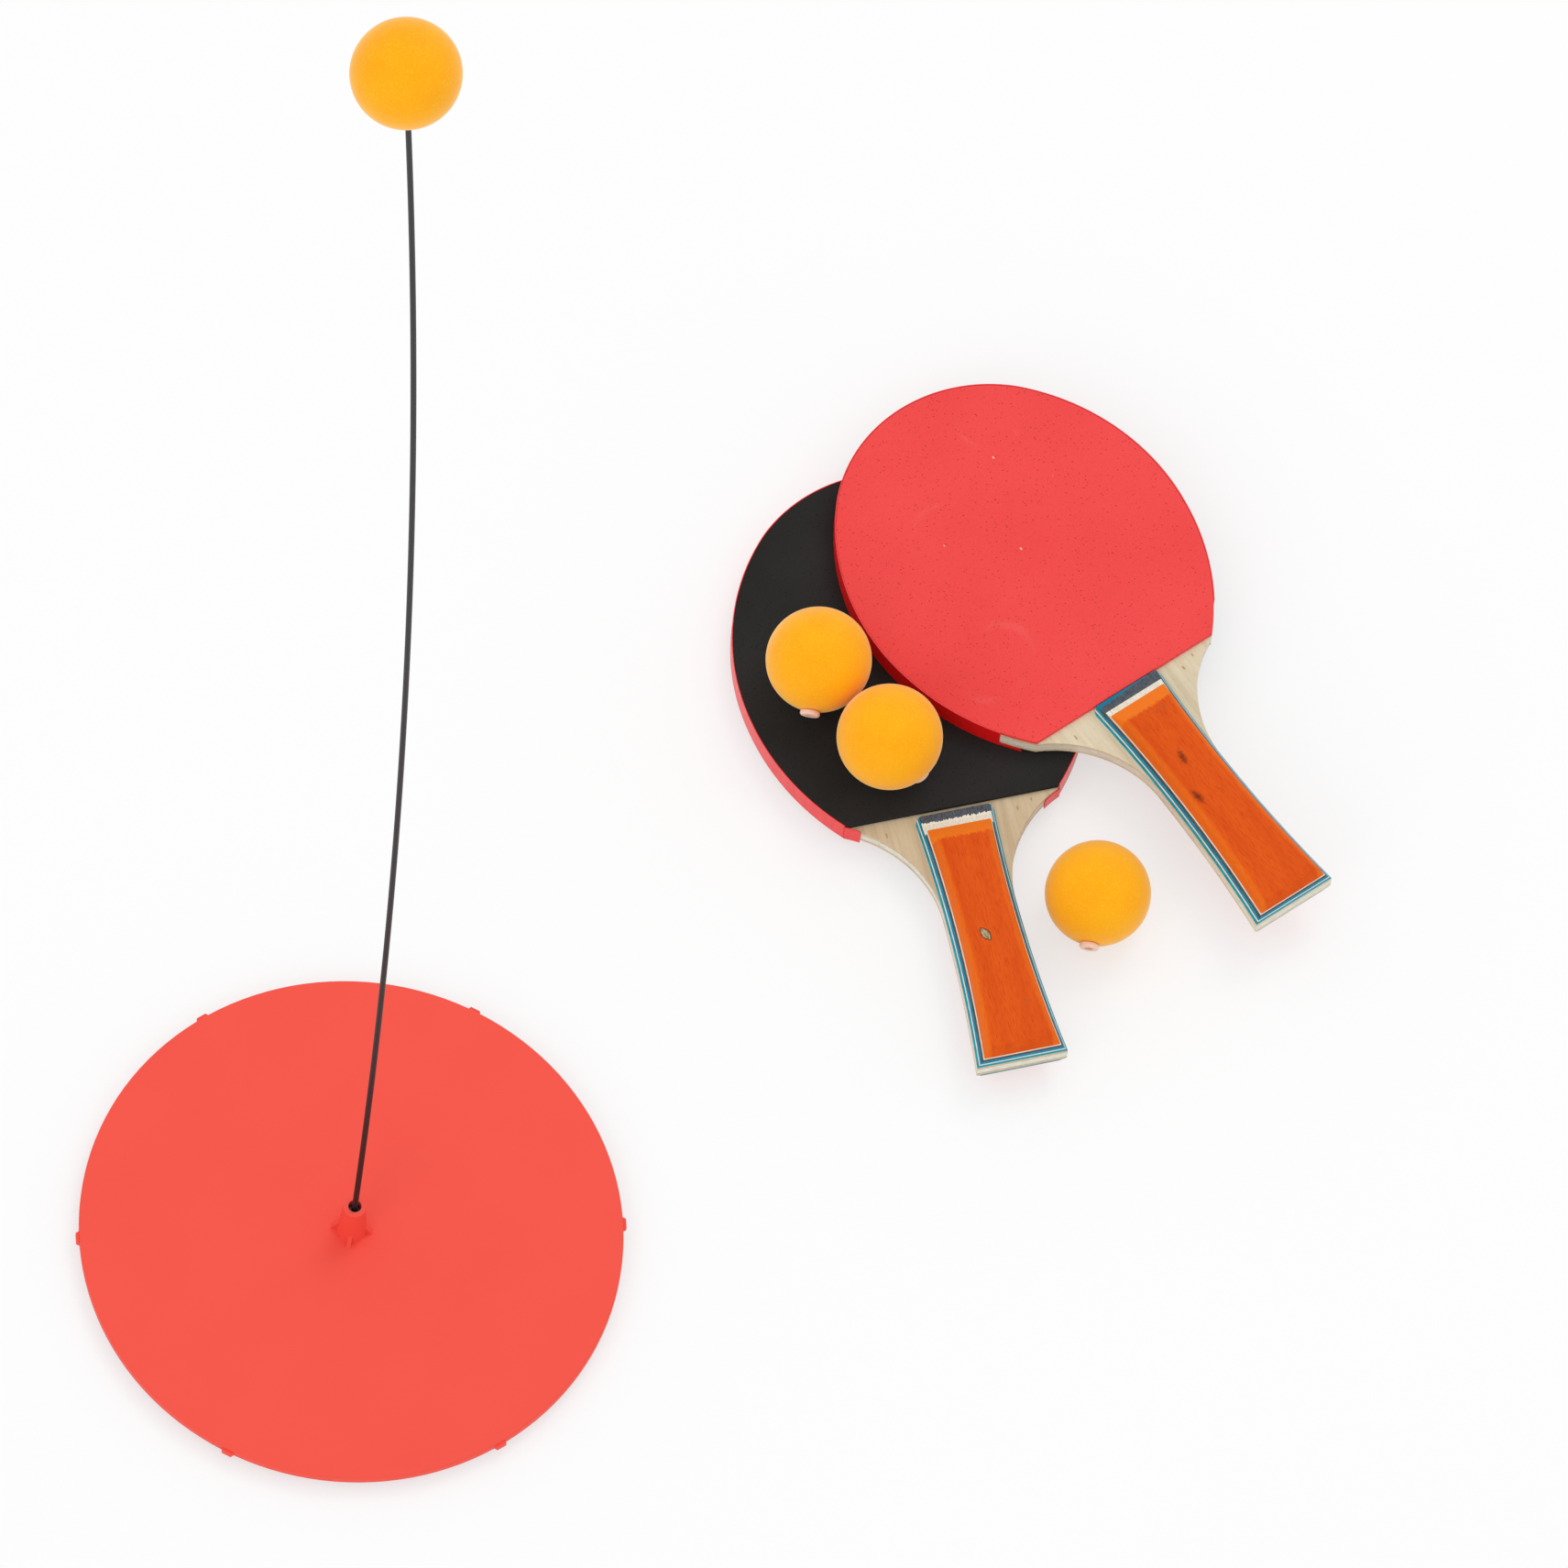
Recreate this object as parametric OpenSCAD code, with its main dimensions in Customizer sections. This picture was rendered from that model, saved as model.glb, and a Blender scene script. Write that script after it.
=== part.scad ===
// Table tennis trainer set: a weighted base with an elastic shaft and its ball,
// two paddles, one lying on the other, and three spare balls.
// Millimetres, +Z up, origin on the floor under the centre of the base.

/* [Base] */
// Outer diameter of the red cover
base_d = 204; // [170:1:250]
// Height of the cover's rim
cover_h = 3.4; // [2.6:0.1:6]
// Thickness of the cover's top
cover_t = 1.4; // [1:0.1:2]
// Radius of the cover's rounded top edge
cover_edge_r = 0.8; // [0.3:0.1:1.2]
// How far the tray's wall stands inside the cover's rim
tray_inset = 3; // [1:0.5:8]
// Height of the tray
tray_h = 3.2; // [2.4:0.1:6]
// Thickness of the tray's floor
tray_floor = 1.2; // [0.8:0.1:1.8]
// Width of the tray's wall
tray_wall = 2; // [1.2:0.1:4]
// Gap round the ballast plate
ballast_gap = 0.5; // [0.2:0.1:2]
// Number of lugs round the rim
lug_count = 6; // [1:1:12]
// Width of a rim lug
lug_w = 5; // [4:0.5:12]
// How far a lug stands out of the rim
lug_out = 1.2; // [0.8:0.1:4]
// Height of a lug
lug_h = 2.2; // [1:0.1:2.6]
// Direction of the first lug, in degrees
lug_turn = 12; // [0:1:60]

/* [Base mat] */
// Thickness of the non-slip mat under the tray
mat_t = 1; // [0.5:0.1:3]
// Distance from the mat's edge to the tray's edge
mat_edge = 4; // [2:0.5:20]

/* [Socket post] */
// Height of the post above the cover
post_h = 21; // [12:0.5:40]
// Diameter of the post at its mouth
post_top_d = 8.6; // [7:0.1:12]
// Diameter of the post at its foot
post_base_d = 11.2; // [9:0.1:16]
// Bevel at the post's mouth
mouth_bevel = 0.5; // [0.2:0.1:0.9]
// Diameter of the socket
socket_d = 5; // [4:0.1:6]
// Thickness of the socket's floor above the cover's top
socket_floor = 0.6; // [0.3:0.1:3]
// Number of gussets round the post
gusset_count = 4; // [2:1:8]
// Reach of a gusset from the post's axis
gusset_reach = 8; // [6:0.1:14]
// Height of a gusset
gusset_h = 6.5; // [3:0.1:11]
// Thickness of a gusset
gusset_t = 1.6; // [1:0.1:3]

/* [Shaft] */
// Diameter of the rod
shaft_d = 2.2; // [1.6:0.1:3]
// Length of the bowed rod between the socket's mouth and its tip sleeve
shaft_len = 935; // [700:5:1100]
// Radius of the rod's slight bow
bow_r = 11500; // [5000:10:20000]
// Depth of the foot sleeve's top below the socket's mouth
sleeve_sink = 3.5; // [1:0.1:8]
// Length of the rod's end inside the tip sleeve
tip_grip = 12; // [9:0.5:20]
// Wall of the tip sleeve
tip_wall = 0.4; // [0.2:0.1:0.8]
// Thickness of the tip sleeve's closed end
tip_end_t = 1; // [0.5:0.1:2]

/* [Balls] */
// Diameter of a ball
ball_d = 40; // [36:0.5:44]
// Wall of a ball's shell
ball_wall = 0.5; // [0.3:0.1:1.2]
// Wall of the plug round the tip sleeve
plug_wall = 1; // [0.6:0.1:1.8]
// How far the plug's flange overlaps the hole in the shell
flange_lip = 1.1; // [0.6:0.1:2.5]
// Thickness of the plug's flange
flange_t = 2; // [1:0.1:3]
// Radius of the flange's rounded edge
flange_round = 0.8; // [0.2:0.1:0.9]
// How far the plug's inner lip overlaps the hole in the shell
inner_lip = 0.6; // [0.3:0.1:1.5]
// Thickness of the plug's inner lip
inner_lip_t = 1.4; // [0.8:0.1:2]
// Depth of the plug's bore
plug_bore_len = 8; // [6:0.5:10]
// How deep the tip sleeve sits in the plug
plug_insert = 7.5; // [4:0.5:8]
// Closed end of the plug past its bore
plug_end_t = 1.2; // [0.6:0.1:3]

/* [Paddle blade] */
// Greatest width of the blade
blade_w = 133; // [122:1:160]
// Length of the blade from the rubber's straight edge to the tip
blade_len = 143; // [132:1:170]
// Radius of the arc round the tip
blade_tip_r = 60; // [48:0.5:61]
// Distance of the widest place from the rubber's straight edge
widest_y = 65; // [50:1:75]
// Width of the blade at the rubber's straight edge
shoulder_w = 82; // [76:1:96]
// Radius of the hollow curve from shoulder to handle
neck_r = 48; // [40:1:60]
// Thickness of the core ply
core_ply_t = 3; // [2:0.1:5]
// Thickness of each face ply
face_ply_t = 1.5; // [0.8:0.1:3]
// Thickness of each rubber sheet
rubber_t = 1.8; // [1:0.1:3]
// Thickness of the edge tape
tape_t = 0.4; // [0.2:0.1:1]
// Distance of the lower paddle's tape ends from the rubber's straight edge
lower_tape_end = 0.5; // [0:0.5:20]
// Distance of the upper paddle's tape ends from the rubber's straight edge
upper_tape_end = 11; // [0:0.5:20]

/* [Paddle handle] */
// Length of the handle from the rubber's straight edge
handle_len = 108; // [85:1:130]
// Width of the handle at its waist
handle_w = 28; // [24:0.5:32]
// Width of the handle at its end
handle_end_w = 35; // [33:0.5:40]
// Distance of the lower paddle's scales from the rubber's straight edge
lower_scale_front = 2; // [0.3:0.1:6]
// Distance of the upper paddle's scales from the rubber's straight edge
upper_scale_front = 0.6; // [0.3:0.1:6]
// Thickness of the teal veneer
teal_t = 1; // [0.5:0.1:2]
// Thickness of the thin cream veneer
inner_cream_t = 0.5; // [0.3:0.1:1.5]
// Thickness of the blue veneer
blue_t = 1; // [0.5:0.1:2]
// Thickness of the grey veneer
grey_t = 1; // [0.5:0.1:2]
// Thickness of the cream veneer under the face
cream_t = 0.5; // [0.3:0.1:1.5]
// Thickness of the orange face
orange_t = 4.5; // [3:0.1:7]
// Length of the shallow bevel across the grey and cream veneers
low_bevel = 7; // [2:0.1:10]
// Length of the steep bevel across the orange face
high_bevel = 6.4; // [1:0.1:8]
// How far the veneers' sides lean in towards the orange face
veneer_lean = 2.6; // [0.5:0.1:3.5]
// How far the orange face's sides lean in above the veneers
face_lean = 0.6; // [0.2:0.1:1.5]
// How far the veneers' ends lean in towards the orange face
end_lean = 1.3; // [0.5:0.1:3]
// How far the orange face's end leans in above the veneers
face_end_lean = 2.2; // [0.5:0.1:4]
// Size of the cut that rounds a scale's front corners
front_corner = 2.5; // [0.5:0.1:4]
// Width of the softened long edges of the orange face
long_edge = 1.4; // [0.4:0.1:2.2]

/* [Layout] */
// Place of the lower paddle's rubber edge, to the right
paddle_x = 196; // [180:1:400]
// Place of the lower paddle's rubber edge, to the back
paddle_y = 209; // [60:1:260]
// Turn of the lower paddle
paddle_turn = 22.5; // [0:0.5:40]
// Further turn of the upper paddle
cross_turn = 22; // [16:0.5:30]
// How far the upper paddle is slid towards the lower one's tip
cross_slide = 30; // [24:0.5:34]
// Clearance between the upper paddle's handle and the lower blade
cross_clear = 2.2; // [1:0.1:6]
// Place of the first spare ball on the lower blade, to the side
ball_on_blade_x = -38; // [-42:1:-34]
// Place of the first spare ball on the lower blade, towards the tip
ball_on_blade_y = 61; // [50:1:75]
// Direction from the first spare ball to the second, in degrees
ball_pair_turn = -64; // [-76:1:-56]
// Gap between the first two spare balls
ball_pair_gap = 1.5; // [0.5:0.1:6]
// Place of the third spare ball beside the lower handle
ball_beside_x = 44; // [40:1:60]
// Place of the third spare ball along the lower handle
ball_beside_y = -48; // [-90:1:-45]

/* [Hidden] */
// Radial clearance of parts that slide into each other
fit_clear = 0.05;
// Gap between a loose piece and what it lies on
rest_gap = 0.2;
// Overlap that cutting tools reach past a face
over = 1;
// Overlap of neighbouring arcs in an outline, so that they cross at one clean point
arc_lap = 0.1;
// How far the tighter of two arcs runs past the blade's widest place
arc_run = 32.5;
// How far the veneers' slope runs on up the orange face
face_lip = 0.4;
// Overlap of the neck with the blade, and of the handle with the neck
neck_lap = 3;
waist_lap = 8;
$fn = 96;
// Facets of the widest arcs
wide_fn = 1440;

// Heights in the base
tray_top = mat_t + tray_h;
cover_top = tray_top + cover_h;
ballast_low = mat_t + tray_floor;
ballast_top = cover_top - cover_t;
tray_r = base_d / 2 - tray_inset;
tray_inner_r = tray_r - tray_wall;
mouth_z = cover_top + post_h;
socket_low = cover_top + socket_floor;

// Foot, bow and tip of the shaft
rod_low = socket_low + rest_gap;
bow_angle = (shaft_len + tip_grip) / bow_r * 180 / PI;
tip_angle = (shaft_len + tip_grip / 2) / bow_r * 180 / PI;
tip_x = bow_r * (cos(tip_angle) - 1);
tip_z = mouth_z + bow_r * sin(tip_angle);
tip_d = shaft_d + 2 * (fit_clear + tip_wall);
tip_low = -tip_grip / 2;
tip_top = tip_grip / 2 + fit_clear + tip_end_t;

// Plug in its hole, measured from the ball's centre
ball_r = ball_d / 2;
stem_d = tip_d + 2 * (fit_clear + plug_wall);
hole_d = stem_d + 2 * fit_clear;
flange_d = hole_d + 2 * flange_lip;
lip_d = hole_d + 2 * inner_lip;
flange_seat = sqrt(pow(ball_r, 2) - pow(hole_d / 2, 2)) + fit_clear;
plug_face = flange_seat + flange_t;
lip_seat = sqrt(pow(ball_r - ball_wall, 2) - pow(lip_d / 2, 2)) - fit_clear;

// Arcs of the blade's outline: the tighter of the side arc and the low arc stands out by arc_lap,
// and reaches past the widest place by arc_run, so that the two cross there
half_w = blade_w / 2;
tip_arc_y = blade_len - blade_tip_r;
arc_rise = tip_arc_y - widest_y;
tip_reach = blade_tip_r - arc_lap;
side_r = (pow(half_w, 2) + pow(arc_rise, 2) - pow(tip_reach, 2)) / (2 * (half_w - tip_reach));
shoulder_out = half_w - shoulder_w / 2;
low_is_tighter = (pow(widest_y, 2) + pow(shoulder_out, 2)) / (2 * shoulder_out) < side_r;
low_half_w = half_w + (low_is_tighter ? arc_lap : -arc_lap);
side_low_y = low_is_tighter ? widest_y : widest_y - arc_run;
low_top_y = low_is_tighter ? widest_y + arc_run : widest_y;
shoulder_in = low_half_w - shoulder_w / 2;
low_r = (pow(widest_y, 2) + pow(shoulder_in, 2)) / (2 * shoulder_in);
neck_x = handle_w / 2 - arc_lap + neck_r;
neck_y = sqrt(pow(neck_r, 2) - pow(neck_x - shoulder_w / 2, 2));

// Arcs of the handle's flare
flare_run = handle_len - neck_y;
flare_out = (handle_end_w - handle_w) / 2;
flare_r = (pow(flare_run, 2) + pow(flare_out, 2)) / (2 * flare_out);
flare_x = handle_w / 2 + flare_r;

// Veneers of a scale, from the blade outwards: name, thickness and colour
LAYERS = [
    ["teal", teal_t, "darkcyan"],
    ["inner_cream", inner_cream_t, "antiquewhite"],
    ["blue", blue_t, "steelblue"],
    ["grey", grey_t, "dimgray"],
    ["cream", cream_t, "antiquewhite"],
    ["orange", orange_t, "orangered"]
];
wood_half = core_ply_t / 2 + face_ply_t;
blade_half = wood_half + rubber_t;
low_step = wood_half + teal_t + inner_cream_t + blue_t;
high_step = low_step + grey_t + cream_t;
scale_top = high_step + orange_t;
face_front = -lower_scale_front - low_bevel - high_bevel;
scale_blank_w = handle_end_w + 4 * over;

// The lower paddle lies on its blade's tip and on the front edge of its bottom scale
paddle_tilt = atan((scale_top - blade_half) / (blade_len + tape_t - face_front));
paddle_lift = scale_top * cos(paddle_tilt) + face_front * sin(paddle_tilt);

// The upper paddle lies flat on the lower blade, with its handle past that blade's edge
front_half_w = flare_half_w(upper_scale_front);
corner_x = -front_half_w * cos(cross_turn) + upper_scale_front * sin(cross_turn);
corner_y = cross_slide - front_half_w * sin(cross_turn) - upper_scale_front * cos(cross_turn);
cross_x = blade_reach(corner_y) + tape_t + cross_clear - corner_x;

// Plug directions of the spare balls: angle below level, and turn seen from above
PLUG_DROP = [16, 45, 10];
PLUG_TURN = [0, 65, 0];

PADDLES = ["paddle_a", "paddle_b"];
BALLS = ["spare_ball_1", "spare_ball_2", "spare_ball_3"];
PADDLE_PIECES = ["core_ply", "top_ply", "bottom_ply", "black_rubber", "red_rubber", "edge_tape"];

// Half width of the handle at a distance behind the rubber's straight edge
function flare_half_w(y) = flare_x - sqrt(pow(flare_r, 2) - pow(neck_y - y, 2));

// Half width of the blade below its widest place
function blade_reach(y) = low_half_w - low_r + sqrt(pow(low_r, 2) - pow(widest_y - y, 2));

// Height of a layer's lower face above the blade's middle
function layer_low(i) = i == 0 ? wood_half : layer_low(i - 1) + LAYERS[i - 1][1];

// A square from one height to another, wider than any blade
module band(low, high) {
    translate([-blade_w, low])
        square([2 * blade_w, high - low]);
}

// Two discs of radius r, with their centres at x and -x
module disc_pair(x, y, r) {
    for (side = [-1, 1])
        translate([side * x, y])
            circle(r, $fn = wide_fn);
}

// Lens where two discs overlap, whose outer sides lie at half_width
module lens(r, half_width) {
    intersection_for (side = [-1, 1])
        translate([side * (r - half_width), widest_y])
            circle(r, $fn = wide_fn);
}

// Blade from a given height to its tip, with its arcs grown by a given amount
module blade_outline(grow, low) {
    cross_y = tip_arc_y + (blade_tip_r + grow) * arc_rise / (side_r - tip_reach);
    intersection() {
        lens(side_r + grow, half_w + grow);
        union() {
            translate([0, tip_arc_y])
                circle(blade_tip_r + grow, $fn = wide_fn);
            band(side_low_y, cross_y);
        }
    }
    intersection() {
        lens(low_r + grow, low_half_w + grow);
        band(low, low_top_y);
    }
}

// Whole wooden outline: blade, hollow neck and flared handle
module wood_outline() {
    inner_w = shoulder_w - 2 * (neck_lap + over);
    difference() {
        union() {
            blade_outline(0, -neck_lap);
            translate([-inner_w / 2, -neck_y])
                square([inner_w, neck_y + neck_lap]);
        }
        disc_pair(neck_x, -neck_y, neck_r);
    }
    difference() {
        translate([-scale_blank_w / 2, -handle_len])
            square([scale_blank_w, flare_run + waist_lap]);
        disc_pair(flare_x, -neck_y, flare_r);
    }
}

module core_ply() {
    color("burlywood")
        translate([0, 0, -core_ply_t / 2])
            linear_extrude(core_ply_t)
                wood_outline();
}

// Face ply above (side 1) or below (side -1) the core
module face_ply(side) {
    color("wheat")
        translate([0, 0, side > 0 ? core_ply_t / 2 : -wood_half])
            linear_extrude(face_ply_t)
                wood_outline();
}

// Rubber sheet on the top (side 1) or the bottom (side -1)
module rubber_sheet(side, tint) {
    color(tint)
        translate([0, 0, side > 0 ? wood_half : -blade_half])
            linear_extrude(rubber_t)
                blade_outline(0, 0);
}

// Tape round the blade, down to a given distance from the rubber's straight edge
module edge_tape(end) {
    color("crimson")
        translate([0, 0, -blade_half])
            linear_extrude(2 * blade_half)
                difference() {
                    blade_outline(tape_t, end);
                    blade_outline(fit_clear, end - over);
                }
}

// Tool that shapes one side of a scale: wide cones that follow the handle's flare, lean in steeply
// across the veneers and a little up the face, and soften the long edge
module scale_side_tool(side) {
    lean_per_mm = veneer_lean / (high_step - wood_half);
    lip_r = flare_r + veneer_lean + lean_per_mm * face_lip;
    edge_r = lip_r + face_lean;
    translate([side * flare_x, -neck_y, 0])
        rotate_extrude($fn = wide_fn)
            polygon([
                [0, wood_half - over],
                [flare_r - lean_per_mm * over, wood_half - over],
                [lip_r, high_step + face_lip],
                [edge_r, scale_top - long_edge],
                [edge_r + long_edge, scale_top],
                [edge_r + long_edge + over, scale_top + over],
                [0, scale_top + over]
            ]);
}

// Plan of a scale's blank, with two cuts across each front corner that round it
module scale_plan(front) {
    wide = flare_half_w(front);
    cut_in = front_corner * (1 - cos(45));
    cut_run = over * (front_corner - cut_in) / cut_in;
    polygon([
        [-scale_blank_w / 2, -handle_len - over],
        [scale_blank_w / 2, -handle_len - over],
        [scale_blank_w / 2, -front - front_corner],
        [wide, -front - front_corner],
        [wide - cut_in, -front - cut_in],
        [wide - front_corner - cut_run, -front + over],
        [-wide + front_corner + cut_run, -front + over],
        [-wide + cut_in, -front - cut_in],
        [-wide, -front - front_corner],
        [-scale_blank_w / 2, -front - front_corner]
    ]);
}

// Top scale in one block: a side profile across the handle, with its corners and both sides shaped
module scale_block(front) {
    difference() {
        intersection() {
            translate([-scale_blank_w / 2, 0, 0])
                rotate([90, 0, 90])
                    linear_extrude(scale_blank_w)
                        polygon([
                            [-front, wood_half],
                            [-front, low_step],
                            [-front - low_bevel, high_step],
                            [-front - low_bevel - high_bevel, scale_top],
                            [-handle_len + end_lean + face_end_lean, scale_top],
                            [-handle_len + end_lean, high_step],
                            [-handle_len, wood_half]
                        ]);
            linear_extrude(scale_top + over)
                scale_plan(front);
        }
        for (side = [-1, 1])
            scale_side_tool(side);
    }
}

// One veneer of the top (side 1) or the bottom (side -1) scale
module scale_layer(side, i, front) {
    color(LAYERS[i][2])
        mirror([0, 0, side > 0 ? 0 : 1])
            intersection() {
                scale_block(front);
                translate([-scale_blank_w, -handle_len - over, layer_low(i)])
                    cube([2 * scale_blank_w, handle_len + over, LAYERS[i][1]]);
            }
}

// Frame of the lower paddle: its rubber's straight edge, tipped onto the floor
module on_lower_paddle() {
    translate([paddle_x, paddle_y, paddle_lift])
        rotate([-paddle_tilt, 0, paddle_turn])
            children();
}

// Frame of paddle 0, which lies on the floor, or 1, which lies across it
module on_paddle(i) {
    on_lower_paddle()
        if (i == 0)
            children();
        else
            translate([cross_x, cross_slide, 2 * blade_half + rest_gap])
                rotate(cross_turn)
                    children();
}

// Ball round the origin, with its hole at the bottom
module ball_shell() {
    color("orange")
        difference() {
            sphere(ball_r);
            sphere(ball_r - ball_wall);
            translate([0, 0, -ball_d])
                cylinder(d = hole_d, h = ball_d);
        }
}

// Grommet in that hole: rounded flange outside, lip inside and a blind bore for the tip
module ball_plug() {
    color("mistyrose")
        difference() {
            union() {
                translate([0, 0, -plug_face])
                    rotate_extrude() {
                        square([flange_d / 2 - flange_round, flange_t]);
                        translate([0, flange_round])
                            square([flange_d / 2, flange_t - 2 * flange_round]);
                        for (z = [flange_round, flange_t - flange_round])
                            translate([flange_d / 2 - flange_round, z])
                                circle(flange_round);
                    }
                translate([0, 0, -plug_face + over / 2])
                    cylinder(d = stem_d, h = plug_bore_len + plug_end_t - over / 2);
                translate([0, 0, -lip_seat])
                    cylinder(d1 = lip_d, d2 = stem_d, h = inner_lip_t);
            }
            translate([0, 0, -plug_face - over])
                cylinder(d = tip_d + 2 * fit_clear, h = plug_bore_len + over);
        }
}

// Frame in the middle of the tip sleeve, with +Z along the shaft
module at_tip() {
    translate([tip_x, 0, tip_z])
        rotate([0, -tip_angle, 0])
            children();
}

// Centre of the trainer's ball
module at_trainer_ball() {
    at_tip()
        translate([0, 0, tip_top - plug_insert + plug_face])
            children();
}

// Centre of a spare ball, with its plug turned as it lies
module at_spare_ball(i) {
    if (i == 2)
        translate([paddle_x, paddle_y, ball_r])
            rotate(paddle_turn)
                translate([ball_beside_x, ball_beside_y, 0])
                    turn_plug(i)
                        children();
    else
        on_lower_paddle()
            translate([
                ball_on_blade_x + i * (ball_d + ball_pair_gap) * cos(ball_pair_turn),
                ball_on_blade_y + i * (ball_d + ball_pair_gap) * sin(ball_pair_turn),
                blade_half + ball_r + rest_gap
            ])
                turn_plug(i)
                    children();
}

// Turns a ball so that its plug points where it shows, free of the paddle's own turn
module turn_plug(i) {
    rotate([PLUG_DROP[i] - 90, 0, PLUG_TURN[i] - paddle_turn])
        children();
}

module base_cover() {
    rim_r = base_d / 2;
    color("red")
        difference() {
            union() {
                translate([0, 0, tray_top])
                    rotate_extrude() {
                        square([rim_r - cover_edge_r, cover_h]);
                        square([rim_r, cover_h - cover_edge_r]);
                        translate([rim_r - cover_edge_r, cover_h - cover_edge_r])
                            circle(cover_edge_r);
                    }
                socket_post();
                for (i = [0 : lug_count - 1])
                    rotate(lug_turn + i * 360 / lug_count)
                        rim_lug();
            }
            translate([0, 0, tray_top - over])
                cylinder(r = tray_inner_r, h = cover_h - cover_t + over);
            translate([0, 0, socket_low])
                cylinder(d = socket_d, h = post_h + over);
        }
}

// Tapered post with gussets, before its socket is bored
module socket_post() {
    translate([0, 0, cover_top - cover_t / 2]) {
        rotate_extrude()
            polygon([
                [0, 0],
                [post_base_d / 2, 0],
                [post_base_d / 2, cover_t / 2],
                [post_top_d / 2, cover_t / 2 + post_h - mouth_bevel],
                [post_top_d / 2 - mouth_bevel, cover_t / 2 + post_h],
                [0, cover_t / 2 + post_h]
            ]);
        for (i = [0 : gusset_count - 1])
            rotate([90, 0, i * 360 / gusset_count])
                translate([0, 0, -gusset_t / 2])
                    linear_extrude(gusset_t)
                        polygon([
                            [0, 0],
                            [gusset_reach, 0],
                            [gusset_reach, cover_t / 2],
                            [post_top_d / 2, cover_t / 2 + gusset_h],
                            [0, cover_t / 2 + gusset_h]
                        ]);
    }
}

// Small tapered tab on the rim
module rim_lug() {
    root = base_d / 2 - tray_inset / 2;
    translate([0, 0, tray_top])
        linear_extrude(lug_h)
            polygon([
                [root, -lug_w / 2],
                [base_d / 2, -lug_w / 2],
                [base_d / 2 + lug_out, -lug_w / 2 + lug_out / 2],
                [base_d / 2 + lug_out, lug_w / 2 - lug_out / 2],
                [base_d / 2, lug_w / 2],
                [root, lug_w / 2]
            ]);
}

module base_tray() {
    color("firebrick")
        difference() {
            translate([0, 0, mat_t])
                cylinder(r = tray_r, h = tray_h);
            translate([0, 0, ballast_low])
                cylinder(r = tray_inner_r, h = tray_h);
        }
}

module ballast_plate() {
    color("slategray")
        translate([0, 0, ballast_low])
            cylinder(r = tray_inner_r - ballast_gap, h = ballast_top - ballast_low);
}

module base_mat() {
    color("black")
        cylinder(r = tray_r - mat_edge, h = mat_t);
}

module shaft_foot_sleeve() {
    color("dimgray")
        difference() {
            translate([0, 0, rod_low])
                cylinder(d = socket_d - 2 * fit_clear, h = mouth_z - sleeve_sink - rod_low);
            translate([0, 0, rod_low - over])
                cylinder(d = shaft_d + 2 * fit_clear, h = post_h + over);
        }
}

// Rod: straight in the socket and bowed above it, up to its end in the tip sleeve
module shaft() {
    color("black") {
        translate([0, 0, rod_low])
            cylinder(d = shaft_d, h = mouth_z - rod_low);
        translate([-bow_r, 0, mouth_z])
            rotate([90, 0, 0])
                rotate_extrude(angle = bow_angle, $fn = wide_fn)
                    translate([bow_r, 0])
                        circle(d = shaft_d);
    }
}

module shaft_tip_sleeve() {
    color("black")
        at_tip()
            difference() {
                translate([0, 0, tip_low])
                    cylinder(d = tip_d, h = tip_top - tip_low);
                translate([0, 0, tip_low - over])
                    cylinder(d = shaft_d + 2 * fit_clear, h = tip_grip + fit_clear + over);
            }
}

base_cover();
base_tray();
ballast_plate();
base_mat();
shaft_foot_sleeve();
shaft();
shaft_tip_sleeve();
at_trainer_ball() ball_shell();  // trainer_ball_shell
at_trainer_ball() ball_plug();  // trainer_ball_plug

for (i = [0 : len(BALLS) - 1]) {
    at_spare_ball(i) ball_shell();
    at_spare_ball(i) ball_plug();
}

for (p = [0 : len(PADDLES) - 1]) {
    name = PADDLES[p];
    black_side = p == 0 ? 1 : -1;
    tape_end = p == 0 ? lower_tape_end : upper_tape_end;
    front = p == 0 ? lower_scale_front : upper_scale_front;
    on_paddle(p) core_ply();
    on_paddle(p) face_ply(1);
    on_paddle(p) face_ply(-1);
    on_paddle(p) rubber_sheet(black_side, "black");
    on_paddle(p) rubber_sheet(-black_side, "red");
    on_paddle(p) edge_tape(tape_end);
    for (i = [0 : len(LAYERS) - 1]) {
        layer = LAYERS[i][0];
        on_paddle(p) scale_layer(1, i, front);
        on_paddle(p) scale_layer(-1, i, front);
    }
}
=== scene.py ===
# %% [markdown]
# # Table tennis trainer set
# A red base with a thin black rod and a ball on its end, two paddles lying one across the other,
# and three spare balls. The solids come from the imported model, in metres, with the floor at z = 0.
# This script keeps the solids whose shape is right and gives them finishes, and it models afresh
# what a solid can't show: the bowed rod, the satin balls, the soft foam sheets and the worn
# wood.

# %% Load the imported model
import math

import bmesh
import bpy
from mathutils import Euler, Matrix, Vector


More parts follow.
